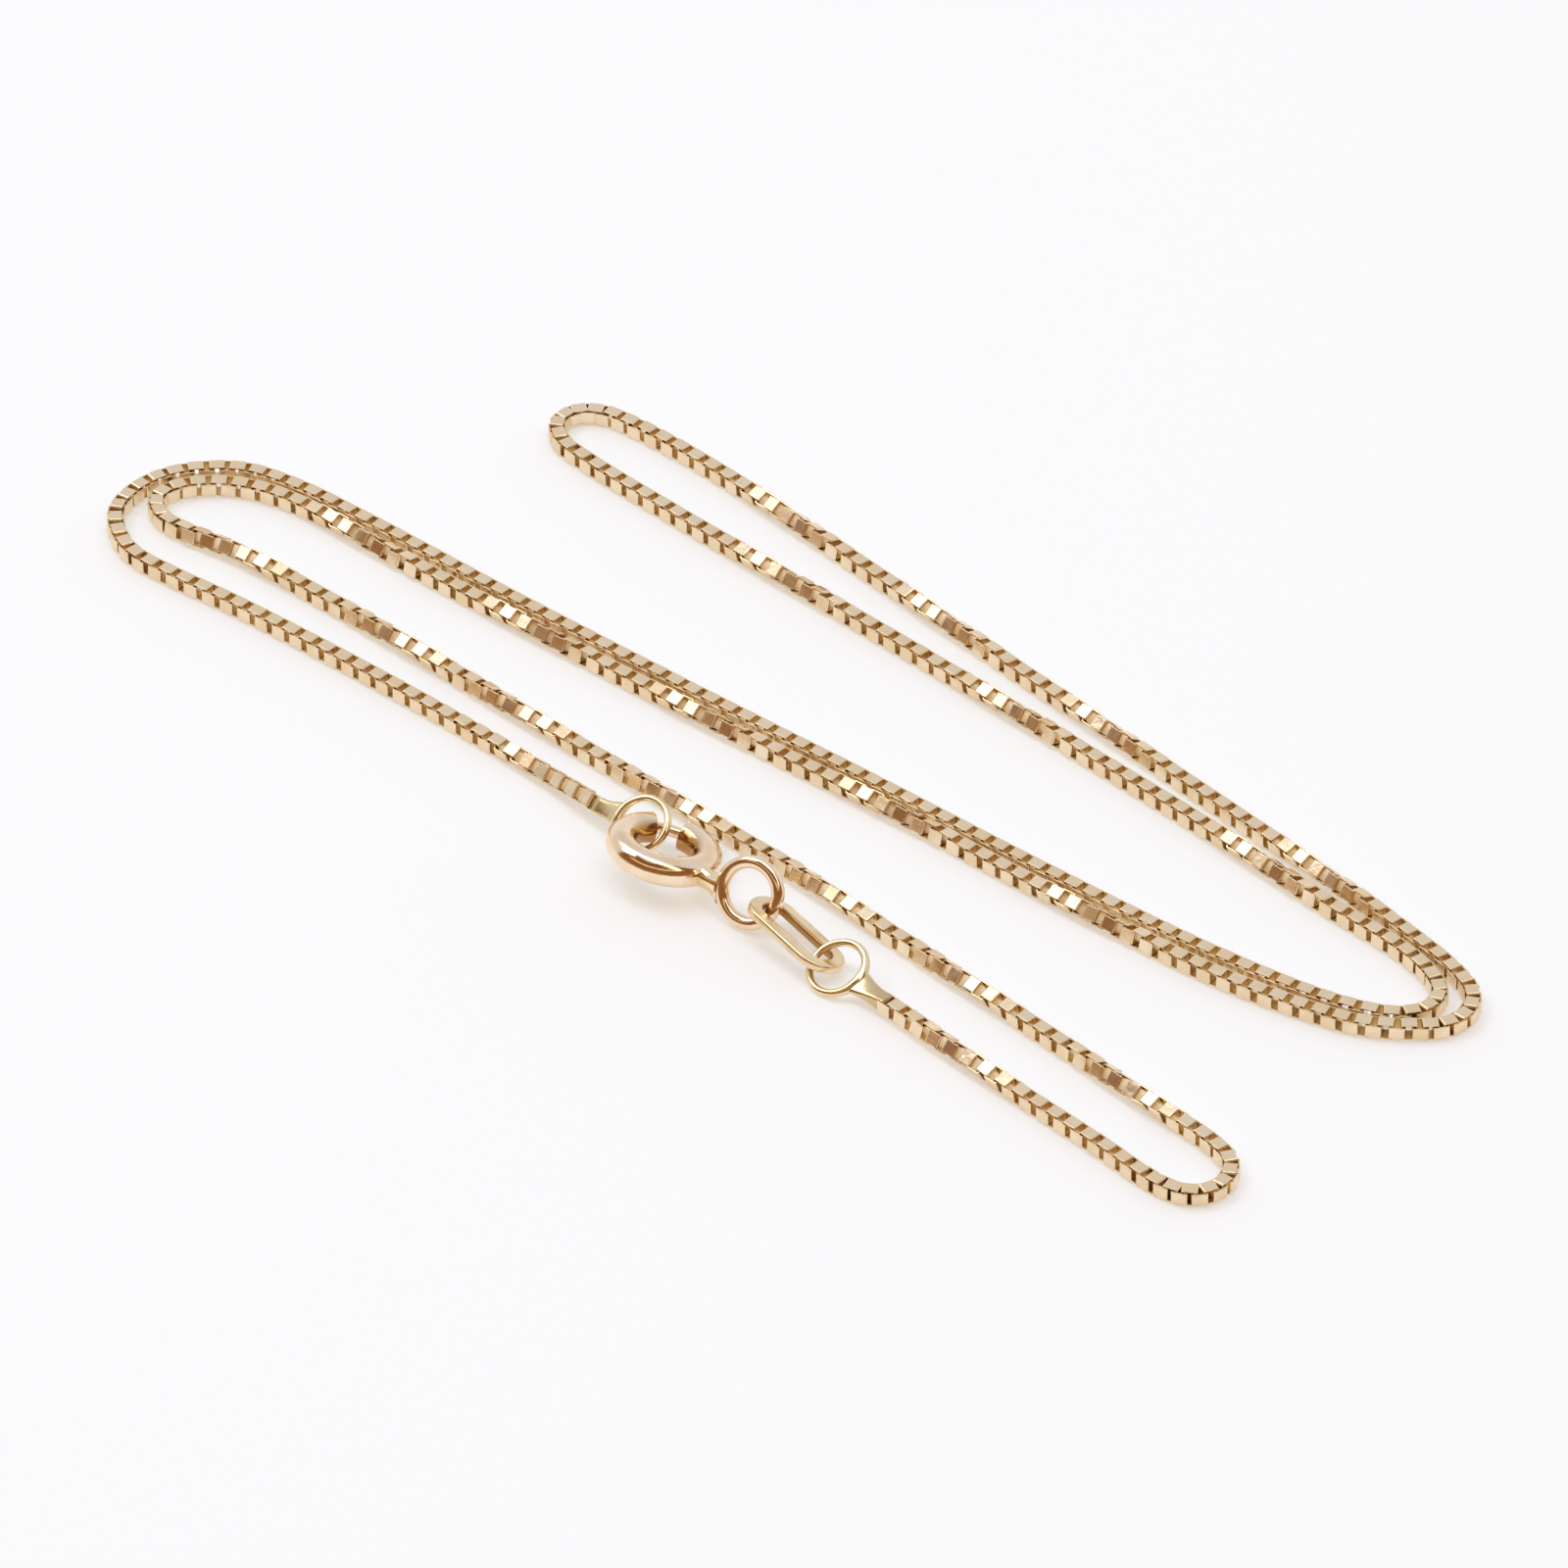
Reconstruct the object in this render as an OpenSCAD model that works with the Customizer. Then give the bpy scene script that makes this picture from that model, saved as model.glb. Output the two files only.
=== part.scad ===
// Box chain necklace with a spring ring clasp, lying folded on a flat surface.
// Lengths are in millimetres. Z is up, the surface is at z = 0, and the long
// strands of the chain run roughly along X.

/* [Chain] */
// Height of a box link across the chain, over its two folded strips
link_h = 0.9; // [0.7:0.01:0.98]
// Width of the strip that a link is folded from
strip_w = 0.68; // [0.5:0.01:0.7]
// How far the first end of the chain is held above the surface
start_lift = 0.45; // [0:0.05:1]
// How far the last end of the chain is held above the surface
finish_lift = 0.15; // [0:0.05:0.6]

/* [Clasp] */
// Outer diameter of the ring-shaped clasp case
clasp_d = 6; // [5.6:0.1:6.4]
// Outer diameter of the tube that the case is bent from
case_tube_d = 1.56; // [1.4:0.02:1.62]
// Wall of that tube
case_wall = 0.28; // [0.2:0.01:0.34]
// Opening in the case that the bolt closes, as an angle at its centre
case_gap = 41; // [30:1:44]
// Diameter of the bolt
bolt_d = 0.6; // [0.4:0.02:0.7]
// How far the bolt's tip reaches into the far end of the case, in degrees
bolt_reach = 4; // [2:0.5:8]
// Angle through which the thumb piece draws the bolt back
bolt_travel = 45; // [40:1:48]
// Angle from the edge of the opening to the thumb piece
thumb_at = 24; // [20:1:30]
// Width of the thumb piece along the case
thumb_w = 0.75; // [0.6:0.05:1]
// Height of the thumb piece across the case
thumb_h = 0.6; // [0.4:0.05:0.8]
// How far the thumb piece stands out from the case
thumb_out = 0.45; // [0.3:0.05:0.7]
// Diameter of the pin that joins the thumb piece to the bolt
thumb_pin_d = 0.3; // [0.2:0.02:0.4]

/* [Eye and tag link] */
// Diameter of the wire of the eye ring soldered to the clasp case
eye_wire_d = 0.64; // [0.5:0.02:0.7]
// Width of the bead of solder between the case and the eye ring
bead_d = 0.84; // [0.6:0.02:1]
// Distance from the middle of the case's tube to the middle of the eye's wire
bead_span = 1.98; // [1.5:0.02:2.1]
// Overall length of the flat tag link
tag_l = 6.2; // [5:0.1:6.6]
// Overall width of the tag link
tag_w = 2.75; // [2.4:0.05:2.9]
// Width of the flat bar that the tag link is made of
tag_bar = 0.75; // [0.6:0.05:0.8]
// Thickness of that bar
tag_t = 0.45; // [0.3:0.05:0.5]

/* [End rings] */
// Diameter of the wire of the ring at the first end of the chain
start_wire_d = 0.38; // [0.3:0.02:0.42]
// Diameter of the wire of the ring at the last end of the chain
finish_wire_d = 0.4; // [0.3:0.02:0.44]
// Half of the angle that the solder covers on an end ring
solder_half = 32; // [20:1:40]
// How much thicker than the ring's wire the solder is, as a factor
solder_swell = 1.15; // [1.05:0.05:1.3]
// Length of the last link at each end, the one that is soldered to the ring
end_link_l = 0.75; // [0.5:0.05:0.9]

/* [Fits] */
// Free way for the case's tube inside the first end ring, on its radius
case_play = 0.48; // [0.46:0.02:0.6]
// Free way for the tag's bar inside the eye ring, on its radius
tag_play_eye = 0.93; // [0.9:0.01:1.1]
// Free way for the tag's bar inside the last end ring, on its radius
tag_play_ring = 0.9; // [0.88:0.01:1.1]
// Gap between the end of the chain and the metal soldered to it
chain_gap = 0.15; // [0.1:0.01:0.2]
// Gap round the thumb pin in its slot
slot_gap = 0.14; // [0.1:0.01:0.18]
// Gap between a piece and the surface that it rests on
floor_gap = 0.01; // [0:0.01:0.05]

/* [Hidden] */

// Middle line of the chain as [x, y], from the clasp round to the tag link
chain_route = [
    [-3.75, -10.75], [-7.5, -10.2], [-18.0, -9.9], [-29.0, -10.1], [-32.9, -10.4],
    [-36.0, -10.4], [-37.9, -9.5], [-39.1, -8.2], [-39.5, -6.5], [-39.3, -4.8],
    [-38.3, -3.0], [-36.4, -1.4], [-33.4, -0.7],
    [-29.0, -0.5], [-18.0, -0.5], [-6.0, -0.3], [5.0, 0.0], [17.0, 0.2], [26.5, 0.6], [33.0, 1.4],
    [35.2, 2.0], [37.0, 2.9], [37.8, 4.1], [37.7, 5.3], [36.5, 6.3], [34.2, 7.0],
    [28.0, 7.5], [19.0, 8.4], [9.0, 9.1], [-1.0, 9.7], [-10.0, 10.1], [-18.0, 10.5],
    [-23.6, 10.9], [-25.8, 11.3], [-26.9, 12.3], [-26.9, 13.5], [-26.0, 14.4], [-24.0, 14.8],
    [-18.7, 14.7], [-8.5, 13.6], [2.0, 12.3], [12.5, 11.0], [23.0, 9.7], [33.0, 8.3],
    [37.0, 7.4], [38.7, 6.6], [39.5, 5.4], [39.4, 4.0], [38.1, 2.6], [36.0, 1.2],
    [33.0, 0.3], [28.0, -0.5], [19.0, -0.9], [8.0, -1.0],
    [-3.0, -1.4], [-14.0, -1.6], [-25.0, -1.7], [-31.0, -1.6],
    [-34.0, -1.9], [-36.5, -3.0], [-38.0, -4.7], [-38.2, -6.1], [-37.2, -7.1], [-35.5, -7.3],
    [-32.0, -6.8], [-23.0, -6.8], [-13.0, -7.2], [-3.0, -7.6],
    [7.0, -8.0], [16.0, -8.8], [25.0, -9.6], [33.0, -10.4],
    [36.3, -10.7], [38.0, -11.3], [38.8, -12.6], [38.4, -14.1], [37.0, -14.8],
    [32.2, -14.4], [24.1, -13.7], [17.15, -13.0]
];

// How each ring leans: [tilt from level, direction that its upper face turns to]
case_lean = [17.1, 78.9];
eye_lean = [62.1, -79.6];
start_lean = [34.9, -91.4];
finish_lean = [26.2, -99.6];

// Turn of the chain about its own line where it meets the first end ring
start_roll = 45;

// Place of the clasp case on the surface, and the height it is propped up by
case_xy = [1.77, -11.85];
case_lift = 0.04;
// Turn of the case in its own plane that brings its opening to angle 0
case_spin = 45.5;
// Angle of the solder bead on the case
bead_angle = -127.5;
// Angle on the case where the first end ring goes round its tube
hook_angle = 35.7;

case_tube_r = case_tube_d / 2;
case_r = clasp_d / 2 - case_tube_r;
case_bore_r = case_tube_r - case_wall;
bolt_r = bolt_d / 2;
gap_half = case_gap / 2;
thumb_angle = -gap_half - thumb_at;
// Gap under the thumb piece, and how far its pin is sunk into it
thumb_base = 0.1;
pin_sunk = 0.1;
slot_h = thumb_pin_d + 2 * slot_gap;
slot_end = asin((thumb_pin_d / 2 + slot_gap) / case_r);
slot_first = thumb_angle + slot_end;
slot_last = thumb_angle - bolt_travel - slot_end;
// How far the cuts of the slot and of the bore run past the case's surface
slot_past = 1;
bore_past = 2;
// How far the bolt runs on behind its thumb piece, as an angle
bolt_behind = 13;
bolt_tail = thumb_angle - bolt_behind;

eye_wire_r = eye_wire_d / 2;
eye_r = eye_wire_r + tag_bar / 2 + tag_play_eye;
start_wire_r = start_wire_d / 2;
start_r = case_tube_r + start_wire_r + case_play;
finish_wire_r = finish_wire_d / 2;
finish_r = finish_wire_r + tag_bar / 2 + tag_play_ring;

// Turning of a direction about Y and about Z
function turn_y(v, a) = [v[0] * cos(a) + v[2] * sin(a), v[1], v[2] * cos(a) - v[0] * sin(a)];
function turn_z(v, a) = [v[0] * cos(a) - v[1] * sin(a), v[0] * sin(a) + v[1] * cos(a), v[2]];
function lain(v, lean) = turn_z(turn_y(v, lean[0]), lean[1]);
function unit(v) = v / norm(v);
function ring_axis(lean) = lain([0, 0, 1], lean);
// Direction in the plane of a leaning ring that points nearest to v
function in_plane(v, lean) = unit(v - ring_axis(lean) * (v * ring_axis(lean)));
// Height of a leaning ring's centre when its wire rests on the surface
function resting(r, wire_r, lean) = r * sin(lean[0]) + wire_r + floor_gap;

case_at = [case_xy[0], case_xy[1], resting(case_r, case_tube_r, case_lean) + case_lift];
function case_dir(a) = lain([cos(a + case_spin), sin(a + case_spin), 0], case_lean);
function case_point(a) = case_at + case_r * case_dir(a);

// The first end ring hangs round the case's tube beside the opening
hook_offset = [-0.15, 0.08, 0.05];
start_at = case_point(hook_angle) + hook_offset;

// The eye ring lies off the case along the solder bead
bead_dir = [0.98, -0.11, 0.17];
eye_dir = [0.98, 0.19, 0];
eye_seat = case_point(bead_angle) + unit(bead_dir) * bead_span;
eye_xy = eye_seat + eye_dir * eye_r;
eye_at = [eye_xy[0], eye_xy[1], resting(eye_r, eye_wire_r, eye_lean)];
bead_on_case = case_point(bead_angle);
bead_on_eye = eye_at + eye_r * in_plane(bead_on_case - eye_at, eye_lean);

// The tag link's end bars lie inside the eye ring and the last end ring
tag_yaw = -9.5;
tag_roll = 21.2;
tag_drop = 0.68;
tag_mid_l = tag_l - tag_bar;
tag_pitch = asin(tag_drop / tag_mid_l);
tag_dir = [cos(tag_pitch) * cos(tag_yaw), cos(tag_pitch) * sin(tag_yaw), -sin(tag_pitch)];
tag_in_eye = [0.68, 0.08, -0.37];
tag_end = eye_at + tag_in_eye;
tag_at = tag_end + tag_dir * tag_mid_l / 2;
tag_far = tag_end + tag_dir * tag_mid_l;
ring_past_tag = [0.43, 0.01];
finish_at = [tag_far[0] + ring_past_tag[0], tag_far[1] + ring_past_tag[1],
    resting(finish_r, finish_wire_r, finish_lean)];

// Centres of the chain's rings, with its two ends held up
link_half = link_h / 2;
last = len(chain_route) - 1;
function lift(i) = i == 0 ? start_lift : i == last ? finish_lift : 0;
function centre(i) = [chain_route[i][0], chain_route[i][1], link_half + lift(i)];
chain_start = centre(0);
chain_finish = centre(last);

module lying(place, lean) {
    translate(place) rotate([0, lean[0], lean[1]]) children();
}

module wire_ring(r, wire_r) {
    rotate_extrude($fn = 64) translate([r, 0]) circle(wire_r, $fn = 32);
}

// Round rod with one thickness at p and another at q
module rod(p, q, r_p, r_q) {
    run = q - p;
    translate(p)
        rotate([0, acos(run[2] / norm(run)), atan2(run[1], run[0])])
            cylinder(h = norm(run), r1 = r_p, r2 = r_q, $fn = 32);
}

// Outline of the chain's section, the shape that crossed box links fill
function link_section() = let (h = link_half, w = strip_w / 2)
    [[h, w], [w, h], [-w, h], [-h, w], [-h, -w], [-w, -h], [w, -h], [h, -w]];

// Sideways direction at ring i, lengthened on a bend so that the mitre fits
function level(v) = unit([v[0], v[1], 0]);
function heading(i) = level(centre(i + 1) - centre(i));
function side_of(d) = [d[1], -d[0], 0];
function mitre(i) = i == 0 ? side_of(heading(0)) : i == last ? side_of(heading(last - 1))
    : let (mean = unit(heading(i - 1) + heading(i))) side_of(mean) / (mean * heading(i));

module chain() {
    section = link_section();
    sides = len(section);
    points = [for (i = [0:last]) for (s = section) centre(i) + mitre(i) * s[0] + [0, 0, s[1]]];
    walls = [for (i = [0:last - 1]) for (k = [0:sides - 1]) let (next = (k + 1) % sides)
        [i * sides + k, i * sides + next, (i + 1) * sides + next, (i + 1) * sides + k]];
    front = [for (k = [0:sides - 1]) sides - 1 - k];
    back = [for (k = [0:sides - 1]) last * sides + k];
    color("#d8b27a") polyhedron(points, concat([front], walls, [back]));
}

// Sinking of the solder into the last link, and its size there against the link's
solder_sunk = 0.1;
solder_fit = 0.94;
// How far inside the ring's middle line the solder stops, as a share of the wire's radius
solder_inside = 0.5;

// Length of a box link, from p towards q, rolled about its own line
module end_link(p, q, length, roll, size) {
    run = q - p;
    translate(p)
        rotate([0, acos(run[2] / norm(run)), atan2(run[1], run[0])])
            rotate([0, 0, roll])
                linear_extrude(length) scale([size, size]) polygon(link_section());
}

// A wire ring, the last link soldered to it, and the web of solder between them
module end_ring(place, lean, r, wire_r, chain_end, roll) {
    web_dir = in_plane(chain_end - place, lean);
    near = place + r * web_dir;
    block_dir = unit(near - chain_end);
    block_end = chain_end + block_dir * chain_gap;
    block_root = block_end + block_dir * (end_link_l - solder_sunk);
    turn = atan2(web_dir * lain([0, 1, 0], lean), web_dir * lain([1, 0, 0], lean));
    color("#dcc48c") {
        lying(place, lean) wire_ring(r, wire_r);
        end_link(block_end, near, end_link_l, roll, 1);
        difference() {
            hull() {
                lying(place, lean)
                    for (a = [-solder_half, solder_half])
                        rotate([0, 0, turn + a])
                            translate([r, 0, 0])
                                sphere(wire_r * solder_swell, $fn = 16);
                end_link(block_root, near, solder_sunk, roll, solder_fit);
            }
            lying(place, lean)
                cylinder(h = link_h, r = r - wire_r * solder_inside, center = true, $fn = 64);
        }
    }
}

module end_ring_start() {
    end_ring(start_at, start_lean, start_r, start_wire_r, chain_start, start_roll);
}

module end_ring_finish() {
    end_ring(finish_at, finish_lean, finish_r, finish_wire_r, chain_finish, 0);
}

// Part of a ring of round tube from one angle to another in the case's plane
module arc_tube(from, to, r_out, r_in) {
    rotate([0, 0, from])
        rotate_extrude(angle = to - from, $fn = 64)
            translate([case_r, 0])
                difference() {
                    circle(r_out, $fn = 32);
                    if (r_in > 0) circle(r_in, $fn = 32);
                }
}

module in_case() {
    lying(case_at, case_lean) rotate([0, 0, case_spin]) children();
}

module clasp_case() {
    color("#dcb592") {
        difference() {
            union() {
                in_case() arc_tube(gap_half, 360 - gap_half, case_tube_r, 0);
                rod(bead_on_case, bead_on_eye, bead_d / 2, eye_wire_r);
            }
            in_case() {
                arc_tube(gap_half - bore_past, 360 - gap_half + bore_past, case_bore_r, 0);
                rotate([0, 0, slot_last])
                    rotate_extrude(angle = slot_first - slot_last, $fn = 64)
                        translate([case_r, -slot_h / 2])
                            square([case_tube_r + slot_past, slot_h]);
            }
        }
        lying(eye_at, eye_lean) wire_ring(eye_r, eye_wire_r);
    }
}

module clasp_bolt() {
    color("#d0a878")
        in_case() {
            arc_tube(bolt_tail, gap_half + bolt_reach, bolt_r, 0);
            rotate([0, 0, thumb_angle]) {
                translate([case_r, 0, 0])
                    rotate([0, 90, 0])
                        cylinder(h = case_tube_r + thumb_base + pin_sunk, d = thumb_pin_d, $fn = 24);
                translate([case_r + case_tube_r + thumb_base, 0, 0])
                    rotate([0, 90, 0])
                        linear_extrude(thumb_out - thumb_base)
                            intersection() {
                                circle(d = thumb_w, $fn = 32);
                                square([thumb_h, thumb_w], center = true);
                            }
            }
        }
}

// Outline of the tag link inset by a given margin
module tag_outline(inset) {
    w = tag_w - 2 * inset;
    straight = tag_l - tag_w;
    translate([-straight / 2, 0]) circle(d = w, $fn = 48);
    translate([straight / 2, 0]) circle(d = w, $fn = 48);
    translate([-straight / 2, -w / 2]) square([straight, w]);
}

module tag_link() {
    color("#d8b27a")
        translate(tag_at)
            rotate([0, 0, tag_yaw]) rotate([0, tag_pitch, 0]) rotate([-tag_roll, 0, 0])
                translate([0, 0, -tag_t / 2])
                    linear_extrude(tag_t)
                        difference() {
                            tag_outline(0);
                            tag_outline(tag_bar);
                        }
}

chain();
end_ring_start();
end_ring_finish();
clasp_case();
clasp_bolt();
tag_link();
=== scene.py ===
"""Box chain necklace with a spring ring clasp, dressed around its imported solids.

Lengths in the classes are millimetres in the part's own frame: X along the long
strands, Y across them, Z up from the surface that the necklace lies on.
"""
import logging
import math
from dataclasses import dataclass, field
from enum import Enum

import bpy
import numpy as np
from mathutils import Matrix, Vector


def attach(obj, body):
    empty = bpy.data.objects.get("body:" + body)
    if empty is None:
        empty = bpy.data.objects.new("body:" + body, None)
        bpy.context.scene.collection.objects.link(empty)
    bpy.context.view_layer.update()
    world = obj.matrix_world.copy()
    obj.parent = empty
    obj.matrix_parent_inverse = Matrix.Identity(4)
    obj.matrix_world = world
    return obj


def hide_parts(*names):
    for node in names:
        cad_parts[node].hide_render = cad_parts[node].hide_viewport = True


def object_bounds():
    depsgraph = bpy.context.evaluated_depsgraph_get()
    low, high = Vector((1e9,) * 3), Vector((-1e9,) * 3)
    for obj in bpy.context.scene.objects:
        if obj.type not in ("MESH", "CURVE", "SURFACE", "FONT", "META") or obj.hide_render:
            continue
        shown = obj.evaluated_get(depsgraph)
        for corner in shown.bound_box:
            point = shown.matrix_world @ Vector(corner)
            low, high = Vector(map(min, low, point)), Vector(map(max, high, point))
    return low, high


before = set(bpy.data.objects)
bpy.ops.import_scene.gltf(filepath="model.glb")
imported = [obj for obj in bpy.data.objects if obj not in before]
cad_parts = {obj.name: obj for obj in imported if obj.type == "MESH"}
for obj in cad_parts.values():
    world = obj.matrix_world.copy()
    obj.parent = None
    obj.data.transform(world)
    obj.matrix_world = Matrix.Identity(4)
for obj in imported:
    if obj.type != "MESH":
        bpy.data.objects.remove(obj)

CAD_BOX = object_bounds()
LOG = logging.getLogger("box_chain")
MM = 0.001
# Point attribute: share of painted shade in gaps, bores and inner walls, and of the duller solder tone on
# solder webs
SHADE_AND_SOLDER = "painted_shade_and_solder_tone"

# Middle line of the chain as [x, y], the same points as the solid's
CHAIN_ROUTE = [
    [-3.75, -10.75], [-7.5, -10.2], [-18.0, -9.9], [-29.0, -10.1], [-32.9, -10.4],
    [-36.0, -10.4], [-37.9, -9.5], [-39.1, -8.2], [-39.5, -6.5], [-39.3, -4.8],
    [-38.3, -3.0], [-36.4, -1.4], [-33.4, -0.7],
    [-29.0, -0.5], [-18.0, -0.5], [-6.0, -0.3], [5.0, 0.0], [17.0, 0.2], [26.5, 0.6], [33.0, 1.4],
    [35.2, 2.0], [37.0, 2.9], [37.8, 4.1], [37.7, 5.3], [36.5, 6.3], [34.2, 7.0],
    [28.0, 7.5], [19.0, 8.4], [9.0, 9.1], [-1.0, 9.7], [-10.0, 10.1], [-18.0, 10.5],
    [-23.6, 10.9], [-25.8, 11.3], [-26.9, 12.3], [-26.9, 13.5], [-26.0, 14.4], [-24.0, 14.8],
    [-18.7, 14.7], [-8.5, 13.6], [2.0, 12.3], [12.5, 11.0], [23.0, 9.7], [33.0, 8.3],
    [37.0, 7.4], [38.7, 6.6], [39.5, 5.4], [39.4, 4.0], [38.1, 2.6], [36.0, 1.2],
    [33.0, 0.3], [28.0, -0.5], [19.0, -0.9], [8.0, -1.0],
    [-3.0, -1.4], [-14.0, -1.6], [-25.0, -1.7], [-31.0, -1.6],
    [-34.0, -1.9], [-36.5, -3.0], [-38.0, -4.7], [-38.2, -6.1], [-37.2, -7.1], [-35.5, -7.3],
    [-32.0, -6.8], [-23.0, -6.8], [-13.0, -7.2], [-3.0, -7.6],
    [7.0, -8.0], [16.0, -8.8], [25.0, -9.6], [33.0, -10.4],
    [36.3, -10.7], [38.0, -11.3], [38.8, -12.6], [38.4, -14.1], [37.0, -14.8],
    [32.2, -14.4], [24.1, -13.7], [17.15, -13.0],
]


class Hand(Enum):
    """Which way the chain turns about its own line, as a screw thread runs."""

    RIGHT = 1
    LEFT = -1


class Body(Enum):
    """The hard bodies of the record that pieces ride on."""

    NECKLACE = "necklace"
    BOLT = "bolt"


def linear(hex_colour: str) -> tuple[float, float, float, float]:
    """Turn an sRGB hex colour into a linear colour.

    Args:
        hex_colour: six hex digits after a hash sign.

    Returns:
        Linear red, green and blue, and an alpha of one.
    """
    parts = [int(hex_colour[i:i + 2], 16) / 255 for i in (1, 3, 5)]
    red, green, blue = (c / 12.92 if c <= 0.04045 else ((c + 0.055) / 1.055) ** 2.4 for c in parts)
    return red, green, blue, 1.0


def add_node(tree: bpy.types.NodeTree, kind: str, settings: dict | None = None,
             values: dict | None = None, links: dict | None = None) -> bpy.types.Node:
    """Add a shader node with its settings, socket values and incoming links.

    Args:
        tree: the node tree that gets the node.
        kind: Blender's class name for the node.
        settings: attributes of the node.
        values: values of input sockets, by name or number.
        links: output sockets to join to input sockets, by name or number.

    Returns:
        The new node.
    """
    node = tree.nodes.new(kind)
    for name, value in (settings or {}).items():
        setattr(node, name, value)
    for name, value in (values or {}).items():
        node.inputs[name].default_value = value
    for name, socket in (links or {}).items():
        tree.links.new(socket, node.inputs[name])
    return node


def unit(v: np.ndarray) -> np.ndarray:
    """Scale a vector to length one."""
    return v / np.linalg.norm(v)


def turn_matrix(*turns: tuple[float, str]) -> np.ndarray:
    """Multiply turns about the axes, the last one applied first.

    Args:
        turns: pairs of an angle in degrees and an axis.

    Returns:
        The three by three matrix.
    """
    total = Matrix.Identity(3)
    for degrees, axis in turns:
        total = total @ Matrix.Rotation(math.radians(degrees), 3, axis)
    return np.array(total)


@dataclass(frozen=True)
class PolishedGold:
    """Fourteen carat gold, polished and then lightly worn.

    Bright and beige in white light. A darker brown colour is painted in by a point attribute: shade
    that gives the gaps, bores and inner walls their depth, and the duller tone of solder on the webs.
    Dents are half a millimetre wide and wear comes in patches of three dents. Polishing scratches are
    finer than the picture shows, so they are drawn three times as coarse.
    """

    name: str
    colour: str
    worn_colour: str
    shade_and_solder_colour: str
    roughness: float
    worn_roughness: float
    dent_mm: float = 0.5
    dent_depth: float = 0.35
    dent_height_mm: float = 0.04
    wear_patch: float = 3.0
    wear_levels: tuple[float, float] = (0.42, 0.68)
    scratch_mm: float = 0.05
    scratch_coarser: float = 3.0
    scratch_depth: float = 0.05
    scratch_height_mm: float = 0.02
    each_link_varies: float = 0.0

    def material(self) -> bpy.types.Material:
        """Build the gold's node material.

        Returns:
            The material, with wear, fine scratches and a soft unevenness.
        """
        mat = bpy.data.materials.new(self.name)
        mat.use_nodes = True
        tree = mat.node_tree
        tree.nodes.clear()
        place = add_node(tree, "ShaderNodeTexCoord").outputs["Object"]
        wear = add_node(tree, "ShaderNodeTexNoise",
                        values={"Scale": 1 / (self.dent_mm * self.wear_patch * MM), "Detail": 3.0},
                        links={"Vector": place})
        least, most = self.wear_levels
        spread = add_node(tree, "ShaderNodeMapRange", values={"From Min": least, "From Max": most},
                          links={"Value": wear.outputs["Fac"]})
        tone = spread.outputs["Result"]
        if self.each_link_varies:
            island = add_node(tree, "ShaderNodeNewGeometry")
            tone = add_node(tree, "ShaderNodeMath", {"operation": "MULTIPLY_ADD"},
                            {1: self.each_link_varies},
                            {0: island.outputs["Random Per Island"], 2: tone}).outputs["Value"]
        worn = add_node(tree, "ShaderNodeMix", {"data_type": "RGBA", "clamp_factor": True},
                        {6: linear(self.colour), 7: linear(self.worn_colour)}, {0: tone})
        # Painted shade: the point attribute mixes in the darker colour where shade falls in gaps, bores and
        # inner walls, and the duller solder tone on webs; it also roughens the surface
        shade_and_solder_share = add_node(tree, "ShaderNodeAttribute", {"attribute_name": SHADE_AND_SOLDER})
        colour = add_node(tree, "ShaderNodeMix", {"data_type": "RGBA"}, {7: linear(self.shade_and_solder_colour)},
                          {0: shade_and_solder_share.outputs["Fac"], 6: worn.outputs[2]})
        dull = add_node(tree, "ShaderNodeMath", {"operation": "MAXIMUM"},
                        links={0: shade_and_solder_share.outputs["Fac"], 1: tone})
        rough = add_node(tree, "ShaderNodeMapRange",
                         values={"To Min": self.roughness, "To Max": self.worn_roughness},
                         links={"Value": dull.outputs["Value"]})
        scratches = add_node(tree, "ShaderNodeTexNoise",
                             values={"Scale": 1 / (self.scratch_mm * self.scratch_coarser * MM),
                                     "Detail": 4.0},
                             links={"Vector": place})
        dents = add_node(tree, "ShaderNodeTexNoise",
                         values={"Scale": 1 / (self.dent_mm * MM), "Detail": 2.0}, links={"Vector": place})
        fine = add_node(tree, "ShaderNodeBump",
                        values={"Strength": self.scratch_depth, "Distance": self.scratch_height_mm * MM},
                        links={"Height": scratches.outputs["Fac"]})
        soft = add_node(tree, "ShaderNodeBump",
                        values={"Strength": self.dent_depth, "Distance": self.dent_height_mm * MM},
                        links={"Height": dents.outputs["Fac"], "Normal": fine.outputs["Normal"]})
        gold = add_node(tree, "ShaderNodeBsdfPrincipled", values={"Metallic": 1.0},
                        links={"Base Color": colour.outputs[2], "Roughness": rough.outputs["Result"],
                               "Normal": soft.outputs["Normal"]})
        add_node(tree, "ShaderNodeOutputMaterial", links={"Surface": gold.outputs["BSDF"]})
        return mat


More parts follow.
